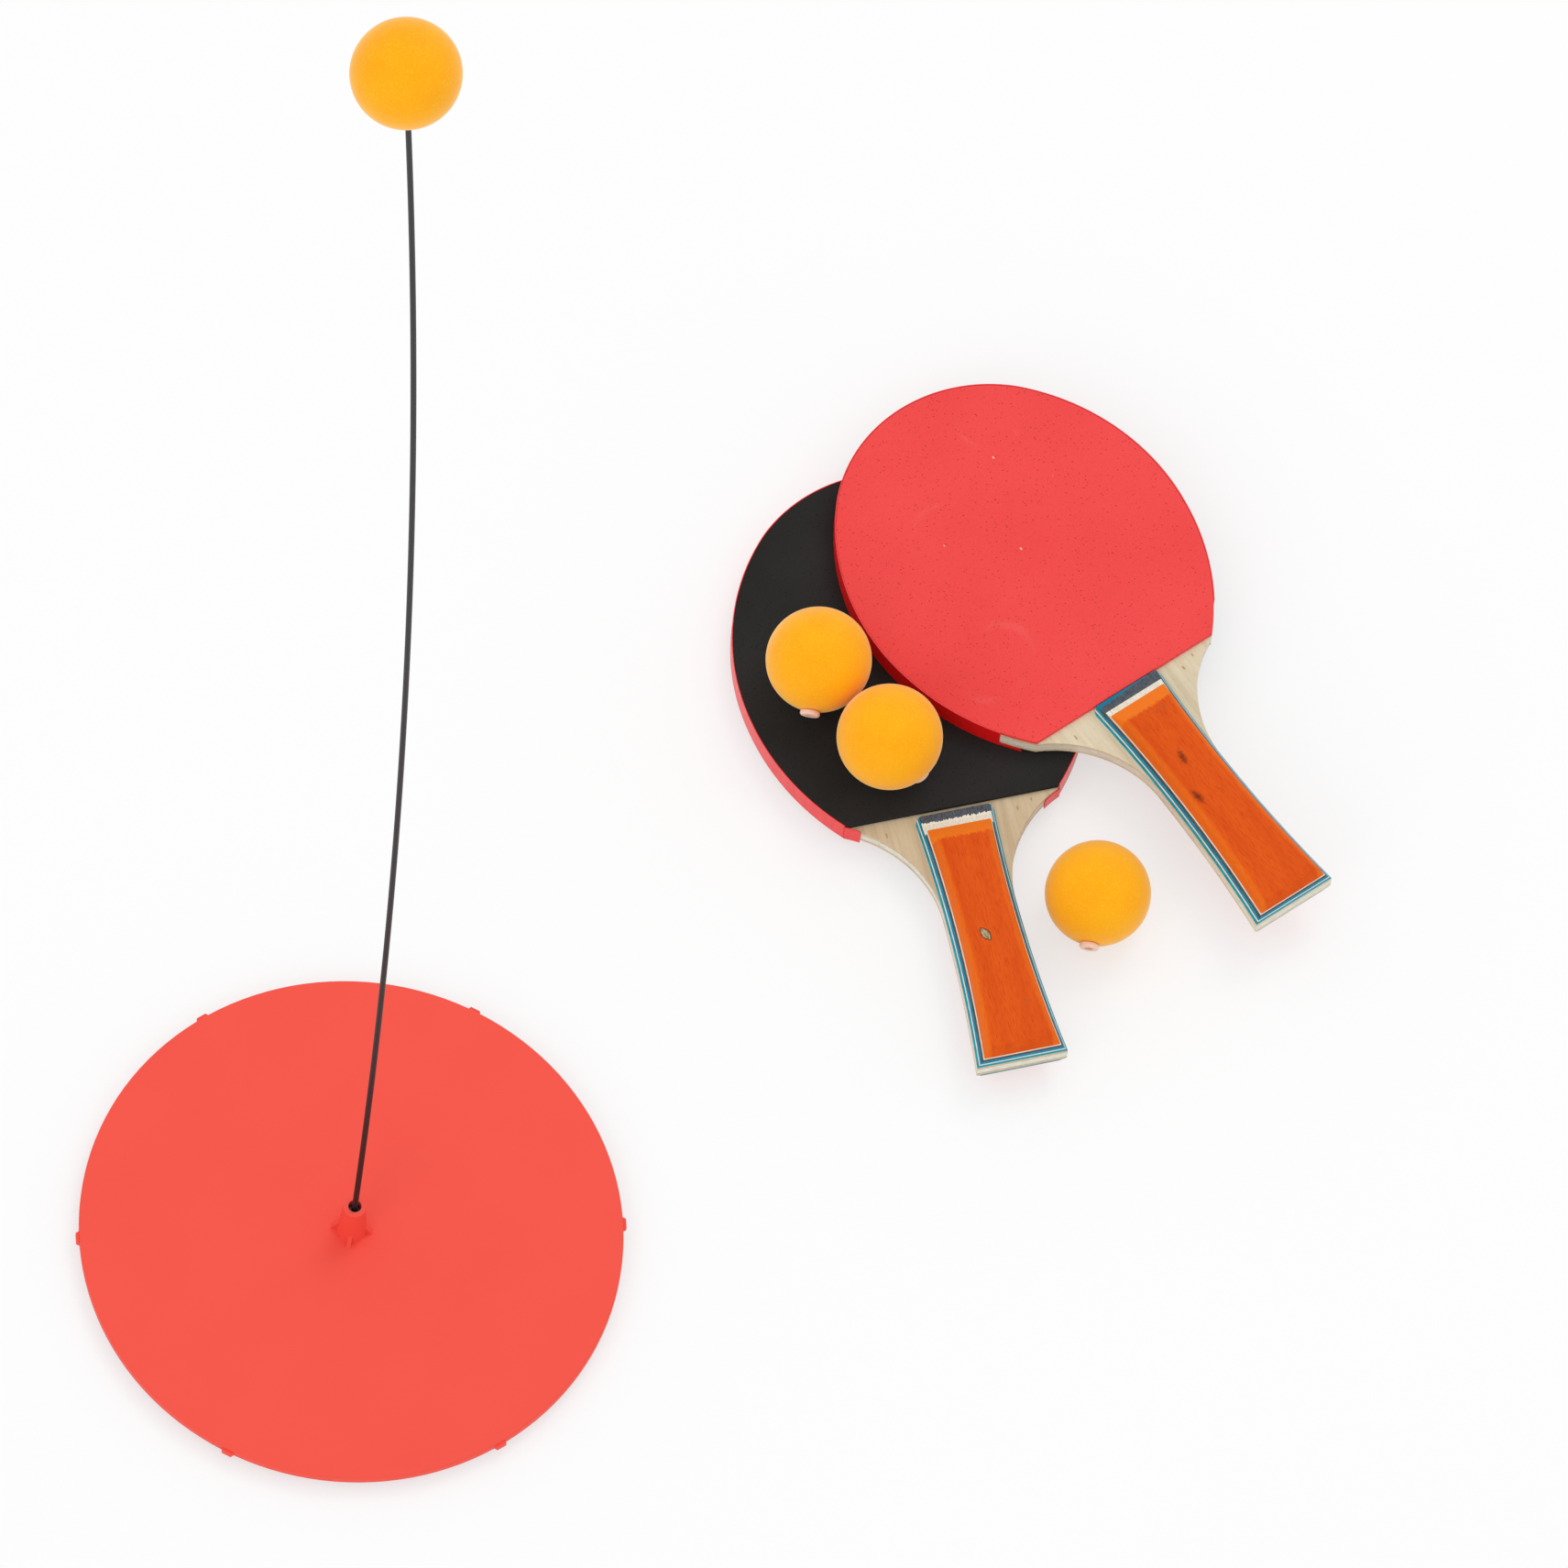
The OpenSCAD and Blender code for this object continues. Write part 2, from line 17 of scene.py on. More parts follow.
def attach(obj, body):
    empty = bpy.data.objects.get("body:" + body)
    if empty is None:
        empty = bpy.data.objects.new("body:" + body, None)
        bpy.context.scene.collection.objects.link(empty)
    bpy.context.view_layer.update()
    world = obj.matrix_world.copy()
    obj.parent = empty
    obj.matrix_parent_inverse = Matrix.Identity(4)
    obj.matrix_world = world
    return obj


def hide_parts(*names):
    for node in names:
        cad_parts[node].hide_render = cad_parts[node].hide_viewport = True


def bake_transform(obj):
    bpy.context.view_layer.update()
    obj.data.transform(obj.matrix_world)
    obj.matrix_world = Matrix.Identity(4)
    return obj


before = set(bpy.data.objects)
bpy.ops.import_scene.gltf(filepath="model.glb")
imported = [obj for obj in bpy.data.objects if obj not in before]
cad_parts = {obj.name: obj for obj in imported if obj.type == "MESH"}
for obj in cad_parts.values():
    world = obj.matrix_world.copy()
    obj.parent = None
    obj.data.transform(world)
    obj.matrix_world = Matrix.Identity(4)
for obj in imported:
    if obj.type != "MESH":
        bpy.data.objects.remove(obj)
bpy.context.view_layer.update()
MM = 0.001
print("solids:", len(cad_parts))

# %% [markdown]
# ## Where the pieces lie
# The lower paddle leans on the front edge of its bottom scale, so it is tipped by two and a half
# degrees. The upper paddle lies flat on it. A piece or a pattern that belongs to a paddle is
# easier to think about in that paddle's own frame: x across, y towards the tip, z out of the face,
# with the origin on the middle of the blade at the rubber's straight edge, all in millimetres. A
# matrix takes it to its place.

# %% Frames of the paddles
BLADE_HALF = 4.8
SCALE_TOP = 11.5
SCALE_FACE_FRONT = -15.4
TAPE_TIP = 143.4
PADDLE_PLACE = (196, 209)
PADDLE_TURN = math.radians(22.5)
CROSS_TURN = math.radians(22)
CROSS_SHIFT = (73.773, 30, 9.8)
paddle_tilt = math.atan((SCALE_TOP - BLADE_HALF) / (TAPE_TIP - SCALE_FACE_FRONT))
paddle_lift = SCALE_TOP * math.cos(paddle_tilt) + SCALE_FACE_FRONT * math.sin(paddle_tilt)


def placed(x, y, z, turn):
    """A matrix that turns by Euler angles and then moves to a place given in millimetres."""
    return Matrix.Translation(Vector((x, y, z)) * MM) @ Euler(turn).to_matrix().to_4x4()


lower_frame = placed(*PADDLE_PLACE, paddle_lift, (-paddle_tilt, 0, PADDLE_TURN))
upper_frame = lower_frame @ placed(*CROSS_SHIFT, (0, 0, CROSS_TURN))
PADDLE_FRAMES = {"paddle_a": lower_frame, "paddle_b": upper_frame}
for paddle, home in PADDLE_FRAMES.items():
    print(paddle, "lies at", [round(c / MM, 1) for c in home.translation], "mm")

# %% [markdown]
# ## A kit for finishes
# Every finish here starts from Object coordinates, brought into a frame of its own and counted in
# millimetres, so that a grain or a pore has its real size. The class below keeps the node code
# short: each method adds one texture or one sum and hands back its socket. Values that are the
# same all over a surface are set on the shader itself.

# %% Kit for finishes
def srgb(red, green, blue):
    """Linear colour from the 0-255 values of a picture."""
    def linear(value):
        value /= 255
        return value / 12.92 if value <= 0.04045 else ((value + 0.055) / 1.055) ** 2.4
    return (linear(red), linear(green), linear(blue), 1.0)


class Finish:
    """A material with a Principled shader and a pattern space in millimetres."""

    # The Mix node lists sockets for every kind of data, and these are the ones for colours.
    COLOUR_A, COLOUR_B, COLOUR_OUT = 6, 7, 2

    def __init__(self, name, home=Matrix.Identity(4), **values):
        self.material = bpy.data.materials.new(name)
        self.material.use_nodes = True
        self.tree = self.material.node_tree
        self.shader = self.tree.nodes["Principled BSDF"]
        for socket, value in values.items():
            self.shader.inputs[socket.replace("_", " ")].default_value = value
        place = self.node("ShaderNodeMapping", vector_type="TEXTURE")
        place.inputs["Location"].default_value = home.translation
        place.inputs["Rotation"].default_value = home.to_euler()
        place.inputs["Scale"].default_value = (MM, MM, MM)
        coordinates = self.node("ShaderNodeTexCoord").outputs["Object"]
        self.tree.links.new(coordinates, place.inputs["Vector"])
        self.space = place.outputs["Vector"]
        self.x, self.y, self.z = self.node("ShaderNodeSeparateXYZ", Vector=self.space).outputs

    def node(self, kind, **settings):
        """Adds a node; a setting is one of its properties, or a value or link for a socket."""
        made = self.tree.nodes.new(kind)
        for name, value in settings.items():
            if hasattr(made, name):
                setattr(made, name, value)
            else:
                self.feed(made.inputs[name.replace("_", " ")], value)
        return made

    def feed(self, socket, value):
        """Links another socket to this one, or sets a plain value."""
        if isinstance(value, bpy.types.NodeSocket):
            self.tree.links.new(value, socket)
        else:
            socket.default_value = value

    def stretched(self, x, y, z):
        """The pattern space with its axes scaled, to draw a grain out along one of them."""
        return self.node("ShaderNodeMapping", Vector=self.space, Scale=(x, y, z)).outputs["Vector"]

    def noise(self, scale, detail=3.0, space=None, rough=0.5):
        """Smooth random values around 0.5; the scale counts waves to the millimetre."""
        made = self.node("ShaderNodeTexNoise", Vector=space or self.space,
                         Scale=scale, Detail=detail, Roughness=rough)
        return made.outputs["Fac"]

    def cells(self, scale, space=None):
        """Distance to the nearest of scattered points, and that point's own random colour."""
        made = self.node("ShaderNodeTexVoronoi", Vector=space or self.space, Scale=scale)
        return made.outputs["Distance"], made.outputs["Color"]

    def sum(self, operation, a, b=0.0, c=0.0):
        """One step of arithmetic, with the Math node's own name for it."""
        made = self.node("ShaderNodeMath", operation=operation)
        for socket, value in zip(made.inputs, (a, b, c)):
            self.feed(socket, value)
        return made.outputs["Value"]

    def fade(self, value, low, high):
        """0 below low and 1 above high, smoothly between; turned round if low is above high."""
        made = self.node("ShaderNodeMapRange", interpolation_type="SMOOTHSTEP", Value=value)
        made.inputs["From Min"].default_value = low
        made.inputs["From Max"].default_value = high
        return made.outputs["Result"]

    def mix(self, share, a, b):
        """Colour a where the share is 0, and colour b where it is 1."""
        made = self.node("ShaderNodeMix", data_type="RGBA")
        self.feed(made.inputs["Factor"], share)
        self.feed(made.inputs[self.COLOUR_A], a)
        self.feed(made.inputs[self.COLOUR_B], b)
        return made.outputs[self.COLOUR_OUT]

    def reach(self, x, y, half_x, half_y, turn=0.0, ragged=0.25, pointed=False):
        """0 in the middle of an oval or a pointed lens, and 1 on its ragged outline."""
        across = self.sum("SUBTRACT", self.x, x)
        along = self.sum("SUBTRACT", self.y, y)
        cos, sin = math.cos(turn), math.sin(turn)
        wide = self.sum("MULTIPLY", across, cos / half_x)
        wide = self.sum("MULTIPLY_ADD", along, sin / half_x, wide)
        long = self.sum("MULTIPLY", along, cos / half_y)
        long = self.sum("MULTIPLY_ADD", across, -sin / half_y, long)
        long_square = self.sum("POWER", long, 2)
        if pointed:
            plain = self.sum("ADD", self.sum("ABSOLUTE", wide), long_square)
        else:
            plain = self.sum("SQRT", self.sum("ADD", self.sum("POWER", wide, 2), long_square))
        teeth = self.sum("MULTIPLY_ADD", self.noise(1.2), ragged * 4, -ragged * 2)
        return self.sum("ADD", plain, teeth)

    def colour(self, value):
        """What the surface's colour is fed by."""
        self.feed(self.shader.inputs["Base Color"], value)

    def gloss(self, value, low, high):
        """Roughness that wanders between two values with a pattern."""
        made = self.node("ShaderNodeMapRange", Value=value)
        made.inputs["To Min"].default_value = low
        made.inputs["To Max"].default_value = high
        self.feed(self.shader.inputs["Roughness"], made.outputs["Result"])

    def relief(self, height, depth, strength):
        """Bump, with the depth of the relief in millimetres."""
        made = self.node("ShaderNodeBump", Height=height, Distance=depth * MM, Strength=strength)
        self.feed(self.shader.inputs["Normal"], made.outputs["Normal"])


print("black, grey and white:", [round(srgb(v, v, v)[0], 3) for v in (0, 128, 255)])

# %% [markdown]
# ## Dressed solids and new pieces
# A solid whose shape is right keeps it and only gets a finish. A new piece starts as a bmesh,
# which is Blender's mesh for editing. It is turned into an object at the origin, shaded smooth up
# to a sharp angle, and tied to the body that it moves with, and the solids that it stands for are
# hidden.

# %% Dress a solid, add a piece
SHARP_ANGLE = math.radians(35)


def dress(nodes, finish):
    """Puts a finish on solids that keep their own shape."""
    for node in nodes:
        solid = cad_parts[node]
        solid.data.materials.clear()
        solid.data.materials.append(finish.material)
    print(finish.material.name, "on", len(nodes), "solids")


def add_piece(bm, name, body, finish, nodes=()):
    """Turns a bmesh into a piece that rides on a body and stands for some solids."""
    mesh = bpy.data.meshes.new(name)
    bm.to_mesh(mesh)
    bm.free()
    mesh.materials.append(finish.material)
    mesh.shade_smooth()
    mesh.set_sharp_from_angle(angle=SHARP_ANGLE)
    piece = bpy.data.objects.new(name, mesh)
    bpy.context.scene.collection.objects.link(piece)
    if nodes:
        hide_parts(*nodes)
    if body:
        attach(piece, body)
    print(name, "has", len(mesh.polygons), "faces")
    return piece


print("edges sharper than", round(math.degrees(SHARP_ANGLE)), "degrees stay sharp")

# %% [markdown]
# ## Red plastic
# The base is two thin mouldings in one bright red plastic with a fine matt texture from the mould.
# A plain colour would look like paint, so the red drifts a little over the disc, and a fine noise
# drives both the gloss and a very shallow relief. The tray below is the same plastic, painted a
# deeper red as painted shade, because it sits in shade under the rim.

# %% Red plastic
def moulded_plastic(name, light, deep):
    finish = Finish(name, Specular_IOR_Level=0.2)
    flow = finish.noise(0.03, detail=4)
    grain = finish.noise(2.2, detail=2)
    finish.colour(finish.mix(flow, light, deep))
    finish.gloss(grain, 0.42, 0.58)
    finish.relief(grain, depth=0.02, strength=0.5)
    return finish


cover_plastic = moulded_plastic("cover_red_plastic", srgb(244, 84, 69), srgb(240, 79, 65))
# The tray's deeper red is painted shade: the same plastic, darkened because it sits in shade under
# the cover's rim.
tray_painted_shade_plastic = moulded_plastic("tray_painted_shade_red_plastic", srgb(190, 36, 40), srgb(165, 26, 32))
dress(["base_cover"], cover_plastic)
dress(["base_tray"], tray_painted_shade_plastic)

# %% [markdown]
# ## Hidden weight, mat and sleeves
# Nobody sees the steel plate, the rubber mat and the metal sleeves until the trainer is taken
# apart, but each still gets its own finish: rolled steel with long streaks, black rubber with
# small cells, and tubes with fine lines along them.

# %% Hidden weight, mat and sleeves
ROLLED = (0.02, 1.5, 1)
DRAWN = (3, 3, 0.05)


def streaked_metal(name, light, deep, streak):
    finish = Finish(name, Metallic=1.0)
    lines = finish.noise(1.0, detail=5, space=finish.stretched(*streak))
    finish.colour(finish.mix(lines, light, deep))
    finish.gloss(lines, 0.28, 0.5)
    finish.relief(lines, depth=0.02, strength=0.4)
    return finish


def cellular_rubber(name, light, deep):
    finish = Finish(name, Specular_IOR_Level=0.3)
    cell, _ = finish.cells(0.6)
    finish.colour(finish.mix(finish.fade(cell, 0.1, 0.7), deep, light))
    finish.gloss(cell, 0.9, 0.75)
    finish.relief(cell, depth=0.15, strength=0.6)
    return finish


plate = streaked_metal("rolled_steel", srgb(150, 152, 156), srgb(110, 112, 118), ROLLED)
mat = cellular_rubber("mat_rubber", srgb(42, 42, 44), srgb(22, 22, 24))
tube = streaked_metal("sleeve_metal", srgb(70, 70, 74), srgb(46, 46, 50), DRAWN)
dress(["ballast_plate"], plate)
dress(["base_mat"], mat)
dress(["shaft_foot_sleeve", "shaft_tip_sleeve"], tube)

# %% [markdown]
# ## The bending rod
# The rod is a thin elastic bar with a slight bow, which the imported model can only turn at one
# hinge. A circle extruded up through the socket and then spun round the far centre of the bow
# gives the whole bar in one skin.

# %% The bowed rod
SHAFT_R = 1.1 * MM
ROD_LOW = 8.4 * MM
MOUTH_Z = 28.6 * MM
BOW_R = 11500 * MM
BOW_LENGTH = 947 * MM
ROD_SIDES = 20
BOW_STEPS = 200

rod_finish = Finish("rod_black", Specular_IOR_Level=0.3)
fibres = rod_finish.noise(1.0, detail=3, space=rod_finish.stretched(4, 4, 0.08))
rod_finish.colour(rod_finish.mix(fibres, srgb(20, 19, 20), srgb(36, 34, 36)))
rod_finish.gloss(fibres, 0.4, 0.6)
rod_finish.relief(fibres, depth=0.02, strength=0.4)

rod = bmesh.new()
ring = bmesh.ops.create_circle(rod, segments=ROD_SIDES, radius=SHAFT_R)["verts"]
bmesh.ops.translate(rod, vec=(0, 0, ROD_LOW), verts=ring)
raised = bmesh.ops.extrude_edge_only(rod, edges=rod.edges[:])["geom"]
top_verts = [g for g in raised if isinstance(g, bmesh.types.BMVert)]
top_edges = [e for e in rod.edges if all(v in top_verts for v in e.verts)]
bmesh.ops.translate(rod, vec=(0, 0, MOUTH_Z - ROD_LOW), verts=top_verts)
bmesh.ops.spin(rod, geom=top_verts + top_edges, cent=(-BOW_R, 0, MOUTH_Z), axis=(0, -1, 0),
               angle=BOW_LENGTH / BOW_R, steps=BOW_STEPS)
bmesh.ops.holes_fill(rod, edges=[e for e in rod.edges if e.is_boundary], sides=0)
bmesh.ops.recalc_face_normals(rod, faces=rod.faces)
rod_piece = add_piece(rod, "shaft_elastic_rod", None, rod_finish, ["shaft"])
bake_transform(rod_piece)

# %% [markdown]
# ## Balls
# A ball's satin plastic scatters light in its skin, which shows as a paler rim. Real scattering
# would dull the bright yellow, so the rim comes from a sheen. A faint cloudiness keeps the colour
# from looking painted, and a fine grain breaks up its gloss.

# %% Ball plastic
ball_plastic = Finish("ball_satin_plastic", Specular_IOR_Level=0.12, Sheen_Weight=0.85,
                      Sheen_Roughness=0.38, Sheen_Tint=srgb(255, 236, 190))
cloud = ball_plastic.noise(0.1, detail=3)
grain = ball_plastic.noise(1.3, detail=3)
ball_tone = ball_plastic.mix(ball_plastic.fade(cloud, 0.25, 0.75),
                             srgb(255, 168, 2), srgb(255, 175, 6))
grain_tone = ball_plastic.mix(ball_plastic.fade(grain, 0.45, 0.8), ball_tone, srgb(255, 188, 30))
ball_plastic.colour(grain_tone)
ball_plastic.gloss(grain, 0.5, 0.62)
ball_plastic.relief(grain, depth=0.02, strength=0.5)
print(ball_plastic.material.name, "has", len(ball_plastic.tree.nodes), "nodes")

# %% [markdown]
# The plug in a ball's hole is a soft grommet of pale rubber. Light goes a little way into it,
# which softens its small shadows, so here the shader does scatter, over a millimetre or so.

# %% Plug rubber
plug_rubber = Finish("plug_pale_rubber", Specular_IOR_Level=0.4, Subsurface_Weight=0.4,
                     Subsurface_Scale=1.5 * MM, Subsurface_Radius=(1.0, 0.6, 0.45))
haze = plug_rubber.noise(0.7, detail=3)
plug_rubber.colour(plug_rubber.mix(haze, srgb(252, 214, 195), srgb(246, 202, 180)))
plug_rubber.gloss(haze, 0.38, 0.55)
plug_rubber.relief(haze, depth=0.05, strength=0.3)
print(plug_rubber.material.name, "has", len(plug_rubber.tree.nodes), "nodes")

# %% [markdown]
# One ball sits on the rod's tip, so its place follows the arc of the bow. Two lie side by side
# on the lower paddle, and one lies on the floor. A plug points down the ball's own z axis, and
# on a spare ball it is turned to the side that the picture shows.

# %% Places of the balls
BALL_R = 20.0
PLUG_FACE = 21.87
PLUG_INSERT = 7.5
TIP_TOP = 7.05
TIP_LENGTH = 941 * MM
TIP_ANGLE = TIP_LENGTH / BOW_R
BALL_GAP = 0.2
BALL_REST = BLADE_HALF + BALL_R + BALL_GAP
BALL_1_AT = (-38, 61)
BALL_3_AT = (44, -48)
BALL_PAIR_TURN = math.radians(-64)
BALL_PAIR_STEP = 41.5
BALL_2_AT = (BALL_1_AT[0] + BALL_PAIR_STEP * math.cos(BALL_PAIR_TURN),
             BALL_1_AT[1] + BALL_PAIR_STEP * math.sin(BALL_PAIR_TURN))
tip_x = BOW_R * (math.cos(TIP_ANGLE) - 1)
tip_z = MOUTH_Z + BOW_R * math.sin(TIP_ANGLE)
tip = Matrix.Translation((tip_x, 0, tip_z)) @ Matrix.Rotation(-TIP_ANGLE, 4, "Y")
floor_spot = placed(*PADDLE_PLACE, BALL_R, (0, 0, PADDLE_TURN))


def plug_turn(drop, turn):
    """Turns a ball so that its plug looks to the front, dipped and swung by some degrees."""
    return (math.radians(drop - 90), 0, math.radians(turn) - PADDLE_TURN)


BALL_PLACES = {
    "trainer_ball": tip @ placed(0, 0, TIP_TOP - PLUG_INSERT + PLUG_FACE, (0, 0, 0)),
    "spare_ball_1": lower_frame @ placed(*BALL_1_AT, BALL_REST, plug_turn(drop=16, turn=0)),
    "spare_ball_2": lower_frame @ placed(*BALL_2_AT, BALL_REST, plug_turn(drop=45, turn=65)),
    "spare_ball_3": floor_spot @ placed(*BALL_3_AT, 0, plug_turn(drop=10, turn=0)),
}
for ball, home in BALL_PLACES.items():
    print(ball, "lies at", [round(c / MM, 1) for c in home.translation], "mm")

# %% [markdown]
# A ball is a hollow shell with one small hole for its plug. One vertex at the hole's edge, spun up
# to the top, draws half of a circle, and a full spin of that makes the shell, which is then given
# its wall. The plug has a rounded flange outside, a lip inside and a blind bore for the rod's tip.
# It is a turned shape too, so a few points of its section and a full spin make it, and a bevel
# rounds the flange.

# %% Shells and plugs
HOLE_R = 2.675
BALL_WALL = 0.5
ARC_STEPS = 56
BALL_STEPS = 96
PLUG_STEPS = 40
POLE_GAP = 0.01
PLUG_SECTION = [(1.6, PLUG_FACE), (3.775, PLUG_FACE), (3.775, 19.87), (2.625, 19.87),
                (2.625, 19.23), (3.275, 19.23), (2.625, 17.83), (2.625, 12.67),
                (0, 12.67), (0, 13.87), (1.6, 13.87)]
FLANGE_EDGE_R = 3.7
FLANGE_CORNER = 1.0
FLANGE_ROUND = 0.7


def full_turn(bm, steps):
    """Spins a section once round the z axis into a closed skin that faces outwards."""
    bmesh.ops.spin(bm, geom=bm.verts[:] + bm.edges[:], axis=(0, 0, 1), angle=math.tau,
                   steps=steps, use_merge=True)
    bmesh.ops.remove_doubles(bm, verts=bm.verts, dist=POLE_GAP * MM)
    bmesh.ops.recalc_face_normals(bm, faces=bm.faces)


def ball_shell(home):
    bm = bmesh.new()
    rim = math.asin(HOLE_R / BALL_R)
    start = bm.verts.new((HOLE_R * MM, 0, -BALL_R * math.cos(rim) * MM))
    bmesh.ops.spin(bm, geom=[start], axis=(0, -1, 0), angle=math.pi - rim, steps=ARC_STEPS)
    full_turn(bm, BALL_STEPS)
    bmesh.ops.solidify(bm, geom=bm.faces[:], thickness=BALL_WALL * MM)
    bmesh.ops.transform(bm, matrix=home, verts=bm.verts)
    return bm


def ball_plug(home):
    bm = bmesh.new()
    points = [bm.verts.new((r * MM, 0, -z * MM)) for r, z in PLUG_SECTION]
    for a, b in zip(points, points[1:] + points[:1]):
        bm.edges.new((a, b))
    full_turn(bm, PLUG_STEPS)
    outer = [e for e in bm.edges if min(v.co.xy.length for v in e.verts) > FLANGE_EDGE_R * MM]
    corner = [e for e in outer if e.calc_face_angle(0) > FLANGE_CORNER]
    bmesh.ops.bevel(bm, geom=corner, offset=FLANGE_ROUND * MM, offset_type="OFFSET", segments=4,
                    profile=0.5, affect="EDGES", material=-1)
    bmesh.ops.transform(bm, matrix=home, verts=bm.verts)
    return bm


for ball, home in BALL_PLACES.items():
    add_piece(ball_shell(home), ball + "_satin_shell", ball, ball_plastic,
              [ball + "_shell"])
    add_piece(ball_plug(home), ball + "_grommet", ball, plug_rubber,
              [ball + "_plug"])

# %% [markdown]
# ## Plywood
# The blade is three plies of pale wood. On a face the grain runs from handle to tip, as long faint
# stripes with short pores between them; noise drawn out along y in the paddle's own frame gives
# both. The core shows only at the edge, as a paler band with dark specks.

# %% Plywood
PLY_TONES = {
    "paddle_a": (srgb(211, 191, 158), srgb(198, 175, 140)),
    "paddle_b": (srgb(224, 211, 182), srgb(211, 195, 163)),
}
PLY_FLECKS = ((24, -5, 0.5, 1.1), (30, -2.5, 0.35, 0.9), (-27, -6, 0.4, 1.2))


def face_wood(paddle):
    finish = Finish(paddle + "_face_wood", PADDLE_FRAMES[paddle], Specular_IOR_Level=0.3)
    stripe = finish.noise(0.9, detail=4, space=finish.stretched(0.5, 0.03, 0.5))
    pore = finish.noise(1.0, detail=2, space=finish.stretched(5, 0.35, 5))
    wood = finish.mix(finish.fade(stripe, 0.3, 0.7), *PLY_TONES[paddle])
    wood = finish.mix(finish.fade(pore, 0.62, 0.75), wood, srgb(184, 160, 124))
    for place_and_size in PLY_FLECKS:
        fleck = finish.fade(finish.reach(*place_and_size), 1.3, 0.3)
        wood = finish.mix(fleck, wood, srgb(180, 146, 100))
    finish.colour(wood)
    finish.gloss(stripe, 0.5, 0.68)
    finish.relief(pore, depth=0.04, strength=0.5)
    return finish


def core_wood(paddle):
    finish = Finish(paddle + "_core_wood", PADDLE_FRAMES[paddle], Specular_IOR_Level=0.25)
    fibre = finish.noise(1.0, detail=4, space=finish.stretched(0.25, 0.25, 3))
    gap, _ = finish.cells(0.9, space=finish.stretched(0.6, 0.6, 1.2))
    wood = finish.mix(finish.fade(fibre, 0.35, 0.65), srgb(234, 232, 220), srgb(212, 208, 192))
    finish.colour(finish.mix(finish.fade(gap, 0.16, 0.07), wood, srgb(110, 96, 74)))
    finish.gloss(fibre, 0.6, 0.8)
    finish.relief(fibre, depth=0.08, strength=0.5)
    return finish


for paddle in PADDLE_FRAMES:
    dress([paddle + "_top_ply", paddle + "_bottom_ply"], face_wood(paddle))
    dress([paddle + "_core_ply"], core_wood(paddle))

# %% [markdown]
# ## Foam rubber
# Each side of a blade has a thin sheet of foam rubber, red or black. It is full of pinholes, which
# crowd together in places, and has a few pale flecks; the red one is faintly scuffed as well.
# Cells give the pinholes: every cell has a point in it, and its own random colour picks which
# points show.

# %% Foam finish
FOAMS = {
    "red": {
        "tones": (srgb(242, 78, 76), srgb(237, 72, 71)),
        "hole": srgb(140, 24, 32),
        "fleck": srgb(255, 190, 180),
        "shine": 0.15,
        "scuffs": ((-20, 92, 13, 10), (-34, 36, 17, 13), (22, 118, 9, 12)),
    },
    "black": {
        "tones": (srgb(45, 44, 43), srgb(36, 35, 34)),
        "hole": srgb(16, 16, 16),
        "fleck": srgb(150, 146, 138),
        "shine": 0.1,
        "scuffs": (),
    },
}
SKIN_SHADE = 0.3
HOLE_SHADE = 0.65
SCUFF_SHADE = 0.06


def foam(name, paddle, tones, hole, fleck, shine, scuffs):
    finish = Finish(name, PADDLE_FRAMES[paddle], Specular_IOR_Level=shine)
    drift = finish.noise(0.02, detail=4)
    skin = finish.noise(2.0, detail=3)
    crowd = finish.noise(0.06, detail=3)
    pit, pit_id = finish.cells(0.72)
    chosen = finish.node("ShaderNodeSeparateColor", Color=pit_id).outputs["Red"]
    picked = finish.fade(finish.sum("MULTIPLY_ADD", crowd, 0.9, chosen), 0.92, 1.0)
    pinhole = finish.sum("MULTIPLY", finish.fade(pit, 0.24, 0.1), picked)
    dust, dust_id = finish.cells(0.09, space=finish.stretched(1, 0.6, 1))
    dusty = finish.node("ShaderNodeSeparateColor", Color=dust_id).outputs["Green"]
    flecks = finish.sum("MULTIPLY", finish.fade(dust, 0.045, 0.015),
                        finish.fade(dusty, 0.6, 0.65))
    tone = finish.mix(finish.fade(drift, 0.25, 0.75), *tones)
    rough_skin = finish.sum("MULTIPLY", finish.fade(skin, 0.5, 0.85), SKIN_SHADE)
    tone = finish.mix(rough_skin, tone, hole)
    tone = finish.mix(finish.sum("MULTIPLY", pinhole, HOLE_SHADE), tone, hole)
    for place_and_size in scuffs:
        oval = finish.reach(*place_and_size, turn=0.5, ragged=0.1)
        rub = finish.sum("ABSOLUTE", finish.sum("SUBTRACT", oval, 1))
        patchy = finish.sum("MULTIPLY", finish.fade(rub, 0.16, 0.0), finish.fade(crowd, 0.45, 0.7))
        tone = finish.mix(finish.sum("MULTIPLY", patchy, SCUFF_SHADE), tone, fleck)
    finish.colour(finish.mix(flecks, tone, fleck))
    finish.gloss(skin, 0.72, 0.9)
    height = finish.sum("SUBTRACT", finish.sum("MULTIPLY", skin, 0.4), pinhole)
    finish.relief(height, depth=0.12, strength=0.6)
    return finish


print("foams:", ", ".join(FOAMS))

# %% [markdown]
# A sheet of foam is cut with a soft edge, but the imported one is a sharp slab. So a copy of it is
# merged, its flat triangles are dissolved into whole faces, and its rim is bevelled. The wooden
# faces of the handles need the same later, so a function does it, and is told which edges to
# round.

# %% Foam sheets
MERGE_GAP = 0.001
FLAT_ANGLE = math.radians(0.4)
EDGE_ANGLE = math.radians(12)
RIM_ANGLE = math.radians(60)
FOAM_ROUND = 0.35


